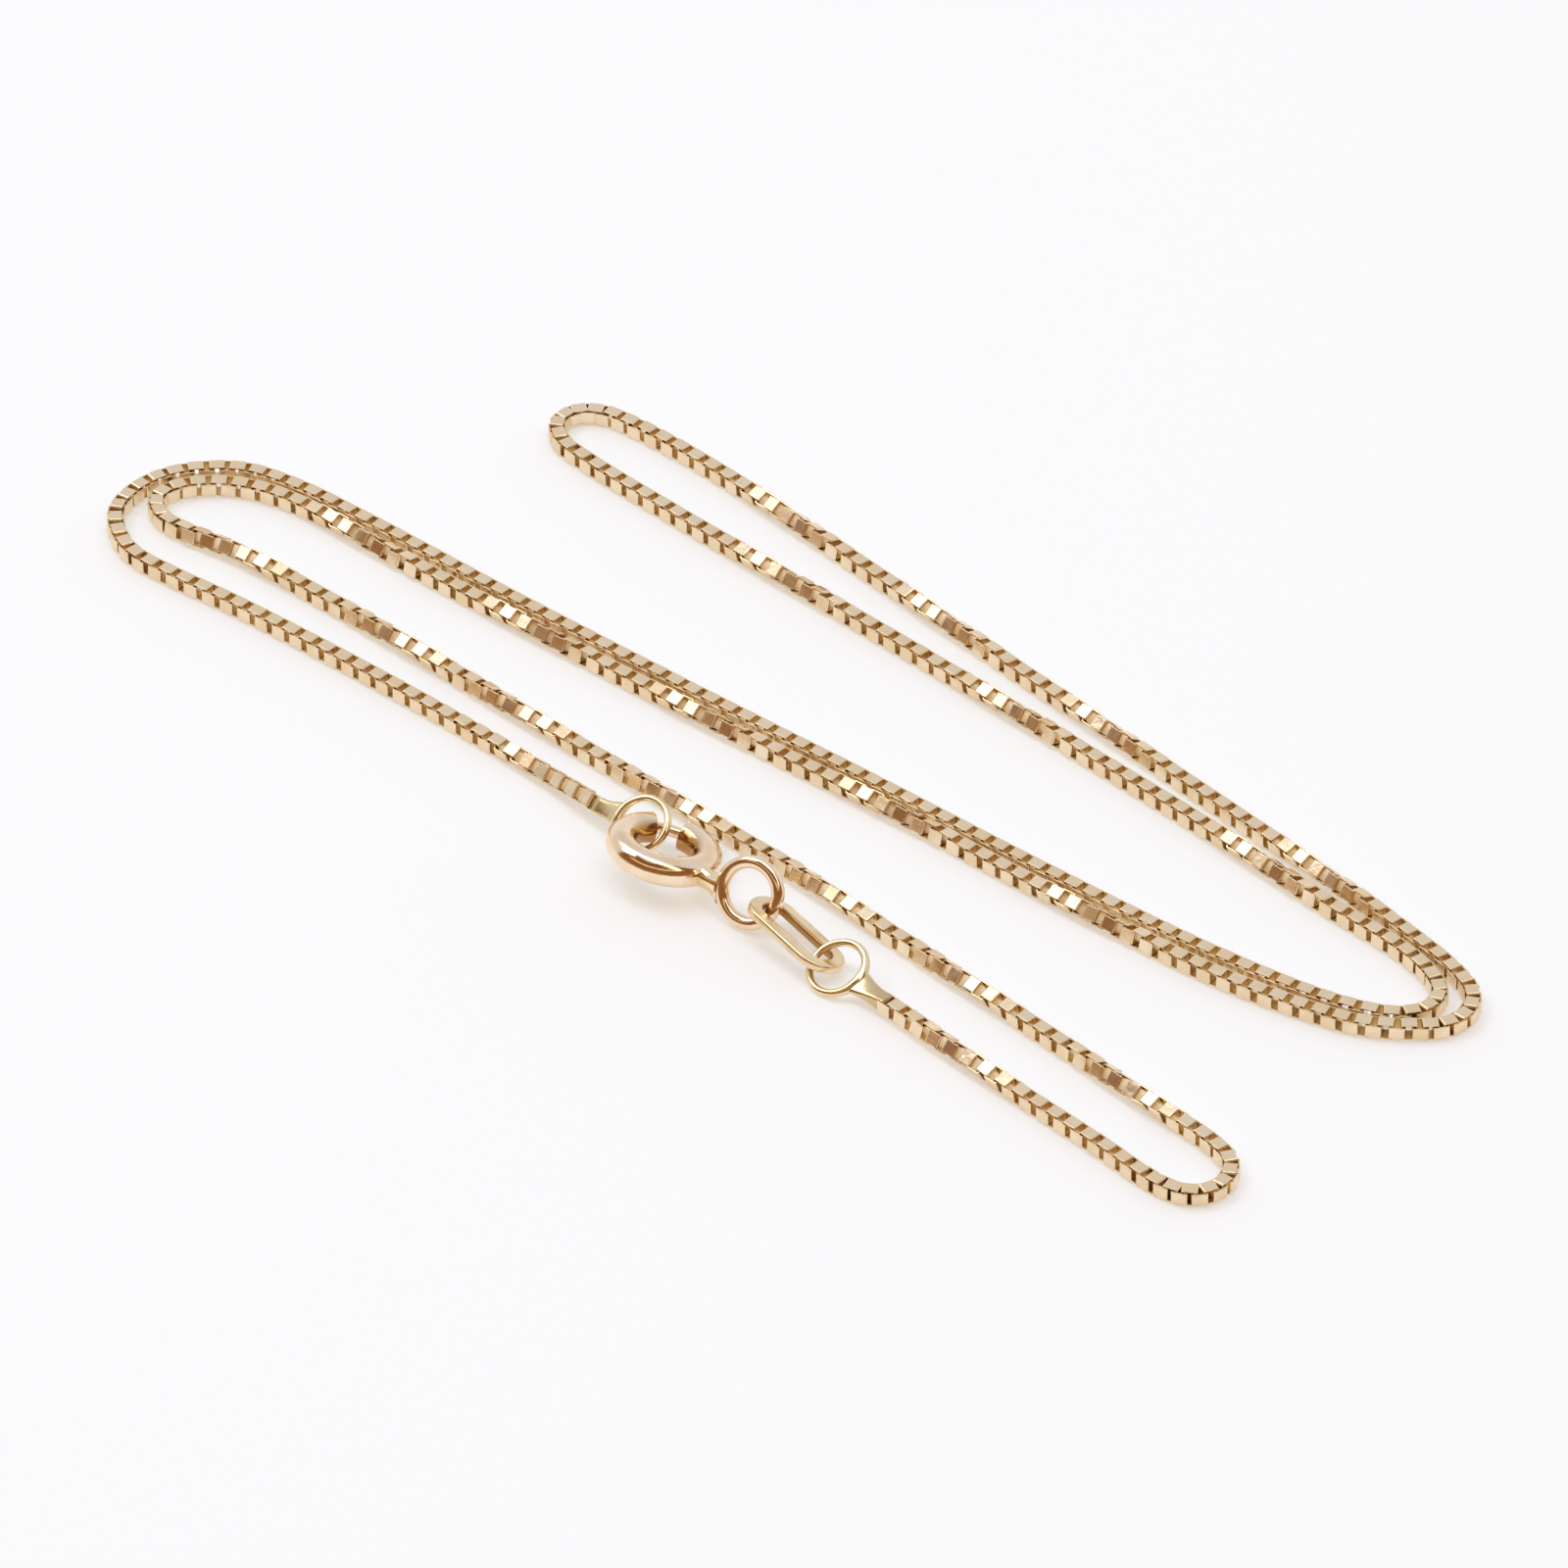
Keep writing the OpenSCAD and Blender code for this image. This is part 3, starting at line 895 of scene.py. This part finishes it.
@dataclass
class ClaspCase:
    """The hollow case of the clasp: tube bent to an open ring, with the thumb piece's slot.

    Its cut ends have a rounded lip. Painted shade starts part of the way round towards the hole in
    the middle of the ring, and fills the bore.
    """

    lies: CaseFrame
    tube: float = 0.78
    wall: float = 0.28
    gap_half: float = 20.5
    slot_ends: tuple[float, float] = (263.0, 323.0)
    slot_half: float = 0.29
    lip: float = 0.07
    lip_turns: tuple[float, ...] = (0.0, 30.0, 60.0)
    deep_in: tuple[float, float] = (0.4, 0.8)
    columns: int = 42
    slot_columns: int = 6
    rows_before_slot: int = 64
    rows_at_slot: int = 18
    rows_after_slot: int = 6
    sharp_degrees: float = 50.0

    def stations(self, radius: float, lip_side: int) -> tuple[list[tuple[float, float]], int, int]:
        """List the sections along the tube from one cut end to the other.

        Args:
            radius: the tube's radius away from its ends.
            lip_side: 1 if the rounded lip widens this face at the cut ends, -1 if it narrows it.

        Returns:
            The angle and radius of each section, and the numbers of those at the slot's ends.
        """
        lip_angle = math.degrees(self.lip / self.lies.radius)
        lip = [(lip_angle * (1 - math.cos(a)), radius + lip_side * self.lip * (1 - math.sin(a)))
               for a in np.radians(self.lip_turns)]
        first, last = self.gap_half, 360 - self.gap_half
        spots = [(first + along, r) for along, r in lip]
        to_slot = np.linspace(first + lip_angle, self.slot_ends[0], self.rows_before_slot)
        at_slot = np.linspace(*self.slot_ends, self.rows_at_slot)
        past_slot = np.linspace(self.slot_ends[1], last - lip_angle, self.rows_after_slot)
        spots += [(a, radius) for a in to_slot]
        slot_from = len(spots) - 1
        spots += [(a, radius) for a in at_slot[1:]]
        slot_to = len(spots) - 1
        spots += [(a, radius) for a in past_slot[1:]]
        return spots + [(last - along, r) for along, r in lip[::-1]], slot_from, slot_to

    def rows(self, radius: float, spots: list[tuple[float, float]]) -> np.ndarray:
        """Trace the tube's sections, the first columns of which span the slot.

        Args:
            radius: the tube's radius away from its ends.
            spots: the angle and radius of each section.

        Returns:
            Points as rows by columns by three.
        """
        around = self.around(radius)
        return np.array([[self.lies.spot(a, self.lies.radius + r * math.cos(t), r * math.sin(t))
                          for t in around] for a, r in spots])

    def around(self, radius: float) -> np.ndarray:
        """Give the angle round the tube of each column, from the slot's upper edge on."""
        slot = math.asin(self.slot_half / radius)
        return np.concatenate([np.linspace(-slot, slot, self.slot_columns, endpoint=False),
                               np.linspace(slot, 2 * math.pi - slot, self.columns, endpoint=False)])

    def build(self, finish: bpy.types.Material) -> bpy.types.Object:
        """Build the case with its bore, its cut ends and the walls of its slot.

        Args:
            finish: the clasp's gold.

        Returns:
            The piece.
        """
        spots, low, high = self.stations(self.tube, -1)
        outer = self.rows(self.tube, spots)
        inner = self.rows(self.tube - self.wall, self.stations(self.tube - self.wall, 1)[0])
        n, m = outer.shape[:2]
        under = n * m
        open_columns = self.slot_columns
        faces = []
        for i in range(n - 1):
            for j in range(m):
                if not (low <= i < high and j < open_columns):
                    k = (j + 1) % m
                    face = [i * m + j, i * m + k, (i + 1) * m + k, (i + 1) * m + j]
                    faces += [face, [under + corner for corner in face[::-1]]]
        end = (n - 1) * m
        for j in range(m):
            k = (j + 1) % m
            faces.append([k, j, under + j, under + k])
            faces.append([end + j, end + k, under + end + k, under + end + j])
        rim = [(i * m, (i + 1) * m) for i in range(low, high)]
        rim += [(high * m + j, high * m + j + 1) for j in range(open_columns)]
        rim += [((i + 1) * m + open_columns, i * m + open_columns) for i in range(low, high)]
        rim += [(low * m + j + 1, low * m + j) for j in range(open_columns)]
        faces += [[b, a, under + a, under + b] for a, b in rim]
        sculpt = Sculpt()
        sculpt.add_closed(np.vstack([outer.reshape(-1, 3), inner.reshape(-1, 3)]), faces)
        piece = sculpt.piece("clasp_tube", finish, "gold_clasp", "clasp_case",
                             sharp_degrees=self.sharp_degrees)
        # Painted shade, from part of the way round towards the hole and all over the bore
        toward_hole = -np.cos(self.around(self.tube))
        shares = np.interp(toward_hole, self.deep_in, (0.0, 1.0))
        mark_shade_and_solder(piece, np.tile(shares, n).tolist() + [1.0] * under)
        return piece


@dataclass
class ClaspBolt:
    """The sprung bolt: a curved rod with a rounded tip, a pin and the thumb piece.

    The thumb piece has a small bevel at its foot and a crowned top: the crown's three shares are
    how much it narrows, how much more it dips near the top, and the size of the flat on it.
    """

    lies: CaseFrame
    rod: float = 0.3
    tail: float = -57.5
    tip: float = 24.5
    thumb_angle: float = -44.5
    tip_turns: tuple[float, ...] = (15.0, 30.0, 45.0, 60.0, 75.0, 88.0)
    pin: float = 0.15
    pin_sunk: float = 0.1
    thumb_from: float = 3.1
    thumb_to: float = 3.45
    thumb_half: tuple[float, float] = (0.375, 0.3)
    thumb_foot: tuple[float, float] = (0.03, 0.9)
    thumb_edge: float = 0.12
    thumb_turns: tuple[float, ...] = (25.0, 50.0, 70.0, 85.0)
    thumb_crown: tuple[float, float, float] = (0.3, 0.2, 0.3)
    thumb_squareness: float = 2.5
    rows: int = 40
    columns: int = 28
    sharp_degrees: float = 60.0

    def add_rod(self, sculpt: Sculpt, turn: np.ndarray) -> None:
        """Add the curved rod, rounded at its tip.

        Args:
            sculpt: the mesh that gets it.
            turn: angle round the rod of each column.
        """
        lies = self.lies
        round_end = math.degrees(self.rod / lies.radius)
        spots = [(a, self.rod) for a in np.linspace(self.tail, self.tip - round_end, self.rows)]
        spots += [(self.tip - round_end * (1 - math.sin(a)), self.rod * math.cos(a))
                  for a in np.radians(self.tip_turns)]
        sculpt.skin(np.array([[lies.spot(a, lies.radius + r * math.cos(t), r * math.sin(t)) for t in turn]
                              for a, r in spots]))

    def thumb_levels(self) -> list[tuple[float, float]]:
        """List the thumb piece's sections: how far out each lies and its share of the full size."""
        narrows, dips, top = self.thumb_crown
        bevel, foot = self.thumb_foot
        levels = [(self.thumb_from, foot), (self.thumb_from + bevel, 1.0),
                  (self.thumb_to - self.thumb_edge, 1.0)]
        for a in np.radians(self.thumb_turns):
            share = 1 - narrows * (1 - math.cos(a)) - dips * math.sin(a) ** 8
            levels.append((self.thumb_to - self.thumb_edge * (1 - math.sin(a)), share))
        return [*levels, (self.thumb_to, top)]

    def build(self, finish: bpy.types.Material) -> bpy.types.Object:
        """Build the bolt in its shut place.

        Args:
            finish: the clasp's gold.

        Returns:
            The piece.
        """
        sculpt, lies = Sculpt(), self.lies
        turn = np.linspace(0, 2 * math.pi, self.columns, endpoint=False)
        self.add_rod(sculpt, turn)

        out = unit(lies.spot(self.thumb_angle, 1.0) - lies.place)
        axis = lies.lean.matrix()[:, 2]
        along = np.cross(axis, out)
        circle = np.cos(turn)[:, None] * along + np.sin(turn)[:, None] * axis
        sculpt.skin(np.array([lies.place + r * out + self.pin * circle
                              for r in (lies.radius, self.thumb_from + self.pin_sunk)]))

        x, y = (np.sign(v) * np.abs(v) ** (2 / self.thumb_squareness) * half
                for v, half in zip((np.cos(turn), np.sin(turn)), self.thumb_half))
        pad = x[:, None] * along + y[:, None] * axis
        sculpt.skin(np.array([lies.place + r * out + pad * share for r, share in self.thumb_levels()]))
        return sculpt.piece("bolt_and_thumb", finish, "gold_clasp", "clasp_bolt", Body.BOLT,
                            self.sharp_degrees)


@dataclass
class EyeRing:
    """The eye ring beside the case, and the bead of solder that holds it.

    Each pair is for the bead's half width and half height. The bead starts and ends, and flares,
    at shares of the way from the middle of the tube to the middle of the wire.
    """

    bead_start: np.ndarray
    ring: WireRing
    waist: tuple[float, float] = (0.44, 0.54)
    case_flare: float = 0.6
    eye_flare: tuple[float, float] = (0.1, 1.6)
    case_flare_ends: float = 0.6
    eye_flare_starts: float = 0.55
    start_drop: float = 0.05
    end_drop: float = 0.3
    swell: float = 0.1
    starts: float = 0.27
    ends: float = 0.97
    rows: int = 20
    columns: int = 28

    def build(self, finish: bpy.types.Material, solder: bpy.types.Material) -> list[bpy.types.Object]:
        """Build the ring and the bead.

        Args:
            finish: the clasp's gold.
            solder: the gold of the solder.

        Returns:
            The two pieces.
        """
        to_case = self.ring.lean.in_plane(self.bead_start - self.ring.place)
        bead_end = self.ring.place + self.ring.radius * to_case
        ring = Sculpt()
        self.ring.add_to(ring, self.ring.angle_of(to_case), self.swell)
        wire_runs = np.cross(to_case, self.ring.lean.matrix()[:, 2])
        wire_runs = wire_runs * np.sign(wire_runs[2])
        run = unit(bead_end - self.bead_start)
        turn = np.linspace(0, 2 * math.pi, self.columns, endpoint=False)[:, None]
        rows = []
        for share in np.linspace(self.starts, self.ends, self.rows):
            rises = unit((1 - share) * np.array([0.0, 0.0, 1.0]) + share * wire_runs)
            side = unit(np.cross(rises, run))
            up = np.cross(run, side)
            to_tube = max(0.0, self.case_flare_ends - share) ** 2
            to_eye = max(0.0, share - self.eye_flare_starts) ** 2
            wide, tall = (w + self.case_flare * to_tube + f * to_eye
                          for w, f in zip(self.waist, self.eye_flare))
            spine = self.bead_start + (bead_end - self.bead_start) * share
            spine = spine - up * (self.start_drop + (self.end_drop - self.start_drop) * share)
            rows.append(spine + wide * np.cos(turn) * side + tall * np.sin(turn) * up)
        bead = Sculpt()
        bead.skin(np.array(rows))
        return [ring.piece("clasp_eye", finish, "gold_clasp", "clasp_case"),
                bead.piece("clasp_bead", solder, "gold_clasp", "clasp_case")]


@dataclass
class TagLink:
    """The flat oval link: a bar with rounded edges, bent into a long loop."""

    place: np.ndarray
    turned: np.ndarray
    length: float = 6.2
    width: float = 2.75
    bar: float = 0.75
    thick: float = 0.45
    inner_shade: float = 0.9
    edge: float = 0.13
    bend_rows: int = 28
    side_rows: int = 6
    edge_steps: int = 5

    def section(self) -> list[tuple[float, float]]:
        """Trace the bar's section: outward and upward place of each point."""
        wide, high, points = self.bar / 2 - self.edge, self.thick / 2 - self.edge, []
        for corner, (x, y) in enumerate(((1, 1), (-1, 1), (-1, -1), (1, -1))):
            for step in range(self.edge_steps + 1):
                angle = math.pi / 2 * (corner + step / self.edge_steps)
                points.append((x * wide + self.edge * math.cos(angle),
                               y * high + self.edge * math.sin(angle)))
        return points

    def build(self, finish: bpy.types.Material) -> bpy.types.Object:
        """Build the link.

        Args:
            finish: the tag's gold.

        Returns:
            The piece.
        """
        straight, bend = (self.length - self.width) / 2, (self.width - self.bar) / 2
        stations = []
        for end, first in ((straight, -90.0), (-straight, 90.0)):
            stations += [(end, first + swept) for swept in np.linspace(0, 180, self.bend_rows + 1)]
            stations += [(end * share, first + 180) for share in np.linspace(1, -1, self.side_rows)[1:-1]]
        rows = []
        for x, degrees in stations:
            c, s = math.cos(math.radians(degrees)), math.sin(math.radians(degrees))
            row = np.array([[x + (bend + out) * c, (bend + out) * s, up] for out, up in self.section()])
            rows.append(row @ self.turned.T + self.place)
        sculpt = Sculpt()
        sculpt.skin(np.array(rows), ring=True)
        piece = sculpt.piece("tag_bar", finish, "gold_chain", "tag_link")
        # Painted shade on the inner walls of the loop
        half = self.bar / 2 - self.edge
        shares = [self.inner_shade * (out < -half) for out, _ in self.section()]
        mark_shade_and_solder(piece, shares * len(rows))
        return piece


@dataclass
class Clasp:
    """The spring ring clasp with its tag link and end rings, laid out as the solids are.

    The eye ring is placed by the solid's radius and wire, and is drawn a little smaller and
    thicker than that.
    """

    case_xy: tuple[float, float] = (1.77, -11.85)
    case_lift: float = 0.04
    case_lean: Lean = Lean(17.1, 78.9)
    bead_angle: float = -127.5
    bead_dir: tuple[float, float, float] = (0.98, -0.11, 0.17)
    bead_span: float = 1.98
    eye_dir: tuple[float, float, float] = (0.98, 0.19, 0.0)
    eye_lean: Lean = Lean(62.1, -79.6)
    eye_radius: float = 1.625
    eye_wire: float = 0.32
    eye_shrink: float = 0.075
    eye_thicker: float = 0.025
    hook_angle: float = 35.7
    hook_offset: tuple[float, float, float] = (-0.15, 0.08, 0.05)
    start_lean: Lean = Lean(34.9, -91.4)
    start_radius: float = 1.45
    start_wire: float = 0.19
    tag_in_eye: tuple[float, float, float] = (0.68, 0.08, -0.37)
    tag_yaw: float = -9.5
    tag_roll: float = 21.2
    tag_drop: float = 0.68
    ring_past_tag: tuple[float, float, float] = (0.43, 0.01, 0.0)
    finish_lean: Lean = Lean(26.2, -99.6)
    finish_radius: float = 1.475
    finish_wire: float = 0.2

    def build(self, case_gold: bpy.types.Material, ring_gold: bpy.types.Material,
              tag_gold: bpy.types.Material, chain: BoxChain) -> None:
        """Build the clasp, the rings and the tag link, each placed by the one before.

        Args:
            case_gold: finish of the case, bolt and eye.
            ring_gold: finish of the soldered rings and the bead.
            tag_gold: finish of the tag link.
            chain: the chain, whose ends the rings are soldered to.
        """
        ends, links = chain.path.ends, chain.places()
        lies = CaseFrame(np.array([*self.case_xy, 0.0]), self.case_lean)
        case = ClaspCase(lies)
        lies.place[2] = self.case_lean.resting(lies.radius, case.tube) + self.case_lift
        case.build(case_gold)
        ClaspBolt(lies).build(case_gold)

        start_at = lies.spot(self.hook_angle, lies.radius) + self.hook_offset
        start_ring = WireRing(start_at, self.start_lean, self.start_radius, self.start_wire)
        EndRing("end_ring_start_soldered", start_ring, ends[0], links[0][1],
                flooded_links=1).build(ring_gold)

        bead_start = lies.spot(self.bead_angle, lies.radius)
        eye_at = bead_start + unit(np.array(self.bead_dir)) * self.bead_span
        eye_at += np.array(self.eye_dir) * self.eye_radius
        eye_at[2] = self.eye_lean.resting(self.eye_radius, self.eye_wire)
        eye = WireRing(eye_at, self.eye_lean, self.eye_radius - self.eye_shrink,
                       self.eye_wire + self.eye_thicker)
        EyeRing(bead_start, eye).build(case_gold, ring_gold)

        tag_span = TagLink.length - TagLink.bar
        pitch = math.degrees(math.asin(self.tag_drop / tag_span))
        turned = turn_matrix((self.tag_yaw, "Z"), (pitch, "Y"), (-self.tag_roll, "X"))
        tag_end = eye_at + self.tag_in_eye
        TagLink(tag_end + turned[:, 0] * tag_span / 2, turned).build(tag_gold)

        finish_at = tag_end + turned[:, 0] * tag_span + self.ring_past_tag
        finish_at[2] = self.finish_lean.resting(self.finish_radius, self.finish_wire)
        finish_ring = WireRing(finish_at, self.finish_lean, self.finish_radius, self.finish_wire)
        EndRing("end_ring_finish_soldered", finish_ring, ends[1], links[-1][1],
                flooded_links=0).build(ring_gold)


@dataclass(frozen=True)
class SoftBox:
    """A soft box over the necklace: where it hangs, how its long side runs, its size and power."""

    name: str
    azimuth: float
    elevation: float
    along: tuple[float, float, float]
    size: tuple[float, float]
    watts: float


@dataclass
class Studio:
    """Plain studio: an opal sheet, a strip light overhead, pale walls and the camera."""

    aim: tuple[float, float, float] = (1.55, -2.46, 0.0)
    azimuth: float = 41.0
    elevation: float = 38.0
    distance: float = 691.6
    focal_pixels: float = 14000.0
    frame_pixels: float = 1600.0
    sensor_mm: float = 36.0
    sees_to: float = 20000.0
    sheet_half: float = 1500.0
    lights_away: float = 900.0
    lights: tuple[SoftBox, ...] = (
        SoftBox("strip_light", 180.0, 88.0, (1.0, 0.0, 0.0), (2300.0, 280.0), 3.2),
        SoftBox("left_box", -65.5, 55.0, (0.0, -0.67, -0.19), (420.0, 420.0), 1.0))
    wall: str = "#DDDEE3"
    low_wall: str = "#EFECEC"
    wall_heights: tuple[float, float] = (0.17, 0.53)
    opening_azimuth: float = 35.0
    opening_edge: tuple[float, float] = (-0.06, 0.08)
    opening_top: tuple[float, float] = (0.97, 0.92)
    opening_shades: tuple[tuple[float, str], ...] = ((0.0, "#BF8950"), (0.2, "#8E653F"), (0.53, "#815930"))
    shelf: str = "#E5CBA6"
    shelf_edge: tuple[float, float] = (0.3, 0.5)
    shelf_shares: tuple[tuple[float, str], ...] = (
        (0.53, "#000000"), (0.59, "#FFFFFF"), (0.67, "#FFFFFF"), (0.73, "#000000"))

    def toward(self, azimuth: float, elevation: float) -> Vector:
        """Give the direction from the necklace to a place at an azimuth and elevation."""
        a, e = math.radians(azimuth), math.radians(elevation)
        return Vector((math.sin(a) * math.cos(e), -math.cos(a) * math.cos(e), math.sin(e)))

    def place_camera(self) -> None:
        """Stand the camera, which looks down through a long lens from the front right."""
        data = bpy.data.cameras.new("camera")
        data.sensor_width = self.sensor_mm
        data.lens = self.focal_pixels / self.frame_pixels * self.sensor_mm
        data.clip_end = self.sees_to * MM
        camera = bpy.data.objects.new("camera", data)
        away = self.toward(self.azimuth, self.elevation)
        camera.location = (Vector(self.aim) + away * self.distance) * MM
        camera.rotation_euler = (-away).to_track_quat("-Z", "Y").to_euler()
        bpy.context.scene.collection.objects.link(camera)
        bpy.context.scene.camera = camera

    def lay_sheet(self) -> None:
        """Lay the pale sheet under the necklace."""
        h = self.sheet_half * MM
        mesh = bpy.data.meshes.new("sheet")
        mesh.from_pydata([(-h, -h, 0), (h, -h, 0), (h, h, 0), (-h, h, 0)], [], [(0, 1, 2, 3)])
        mesh.materials.append(OpalSheet().material())
        sheet = bpy.data.objects.new("sheet", mesh)
        bpy.context.scene.collection.objects.link(sheet)

    def hang_light(self, box: SoftBox) -> None:
        """Hang a soft box that faces the necklace.

        Args:
            box: the soft box.
        """
        data = bpy.data.lights.new(box.name, "AREA")
        data.shape = "RECTANGLE"
        data.size, data.size_y = (side * MM for side in box.size)
        data.energy = box.watts
        light = bpy.data.objects.new(box.name, data)
        outward, along = self.toward(box.azimuth, box.elevation), Vector(box.along)
        side = (along - outward * along.dot(outward)).normalized()
        turned = Matrix((side, outward.cross(side), outward)).transposed().to_4x4()
        turned.translation = (Vector(self.aim) + outward * self.lights_away) * MM
        light.matrix_world = turned
        bpy.context.scene.collection.objects.link(light)

    def surround(self) -> None:
        """Give the room: pale walls, and a dark opening with a lit shelf beyond the camera."""
        world = bpy.data.worlds.new("room")
        world.use_nodes = True
        tree = world.node_tree
        tree.nodes.clear()
        place = add_node(tree, "ShaderNodeTexCoord").outputs["Generated"]
        flat = add_node(tree, "ShaderNodeVectorMath", {"operation": "MULTIPLY"}, {1: (1, 1, 0)}, {0: place})
        level = add_node(tree, "ShaderNodeVectorMath", {"operation": "NORMALIZE"},
                         links={0: flat.outputs[0]})
        ahead = add_node(tree, "ShaderNodeVectorMath", {"operation": "DOT_PRODUCT"},
                         {1: self.toward(self.opening_azimuth, 0.0)}, {0: level.outputs[0]}).outputs["Value"]
        height = add_node(tree, "ShaderNodeSeparateXYZ", links={0: place}).outputs["Z"]
        wide, tall, shelf_wide = (
            add_node(tree, "ShaderNodeMapRange", {"interpolation_type": "SMOOTHSTEP"},
                     {"From Min": starts, "From Max": full}, {"Value": measure}).outputs["Result"]
            for (starts, full), measure in ((self.opening_edge, ahead), (self.opening_top, height),
                                            (self.shelf_edge, ahead)))
        shades, shares = (add_node(tree, "ShaderNodeValToRGB", links={"Fac": height}) for _ in range(2))
        for ramp, stops in ((shades, self.opening_shades), (shares, self.shelf_shares)):
            elements = ramp.color_ramp.elements
            elements.remove(elements[1])
            elements[0].position, elements[0].color = stops[0][0], linear(stops[0][1])
            for at, colour in stops[1:]:
                elements.new(at).color = linear(colour)
        in_opening = add_node(tree, "ShaderNodeMath", {"operation": "MULTIPLY"}, links={0: wide, 1: tall})
        on_shelf = add_node(tree, "ShaderNodeMath", {"operation": "MULTIPLY"},
                            links={0: shares.outputs["Color"], 1: shelf_wide})
        opening = add_node(tree, "ShaderNodeMix", {"data_type": "RGBA"}, {7: linear(self.shelf)},
                           {0: on_shelf.outputs["Value"], 6: shades.outputs["Color"]})
        low, high = self.wall_heights
        up_wall = add_node(tree, "ShaderNodeMapRange", values={"From Min": low, "From Max": high},
                           links={"Value": height})
        wall = add_node(tree, "ShaderNodeMix", {"data_type": "RGBA"},
                        {6: linear(self.low_wall), 7: linear(self.wall)}, {0: up_wall.outputs["Result"]})
        room = add_node(tree, "ShaderNodeMix", {"data_type": "RGBA"},
                        links={0: in_opening.outputs["Value"], 6: wall.outputs[2], 7: opening.outputs[2]})
        shine = add_node(tree, "ShaderNodeBackground", links={"Color": room.outputs[2]})
        add_node(tree, "ShaderNodeOutputWorld", links={"Surface": shine.outputs["Background"]})
        bpy.context.scene.world = world

    def build(self) -> None:
        """Set up the camera, sheet, lights and room."""
        self.place_camera()
        self.lay_sheet()
        for box in self.lights:
            self.hang_light(box)
        self.surround()
        bpy.context.scene.view_settings.view_transform = "Standard"
        LOG.info("studio: camera at azimuth %.0f, elevation %.0f", self.azimuth, self.elevation)


def main() -> None:
    """Build the studio and the necklace, piece by piece."""
    logging.basicConfig(level=logging.INFO, format="%(message)s")
    # Rolled strip, folded into links and polished as a whole chain: each flat is a small mirror
    # of its own tone, and painted shade on the inner faces of the links draws the dark gaps
    chain_gold = PolishedGold("gold_strip_folded_polished", "#F8E4C5", "#F1D9B3", "#E5C78C",
                              roughness=0.21, worn_roughness=0.33, each_link_varies=0.5).material()
    # Drawn tube, bent and buffed: pinker and smoother, so that its highlights run long and crisp
    # Its dark brown third colour is painted shade towards the hole of the case and in its bore
    case_gold = PolishedGold("gold_tube_buffed", "#FBE6CB", "#F3D9B6", "#B98C55",
                             roughness=0.08, worn_roughness=0.2, dent_depth=0.25).material()
    # Drawn wire over which solder has run: paler and greener, duller where the solder lies; on the
    # webs the darker colour is partly painted shade where they leave the chain
    ring_gold = PolishedGold("gold_wire_solder_washed", "#F5E6BF", "#E6D2A4", "#D3BB8C",
                             roughness=0.1, worn_roughness=0.32).material()
    # Bar bent to an oval and tumbled: an even satin shine, with painted shade on the inner walls
    tag_gold = PolishedGold("gold_bar_tumbled", "#F3DEB9", "#EAD0A2", "#A87A42",
                            roughness=0.2, worn_roughness=0.32).material()
    Studio().build()
    chain = BoxChain()
    chain.build(chain_gold)
    Clasp().build(case_gold, ring_gold, tag_gold, chain)


if __name__ == "__main__":
    main()
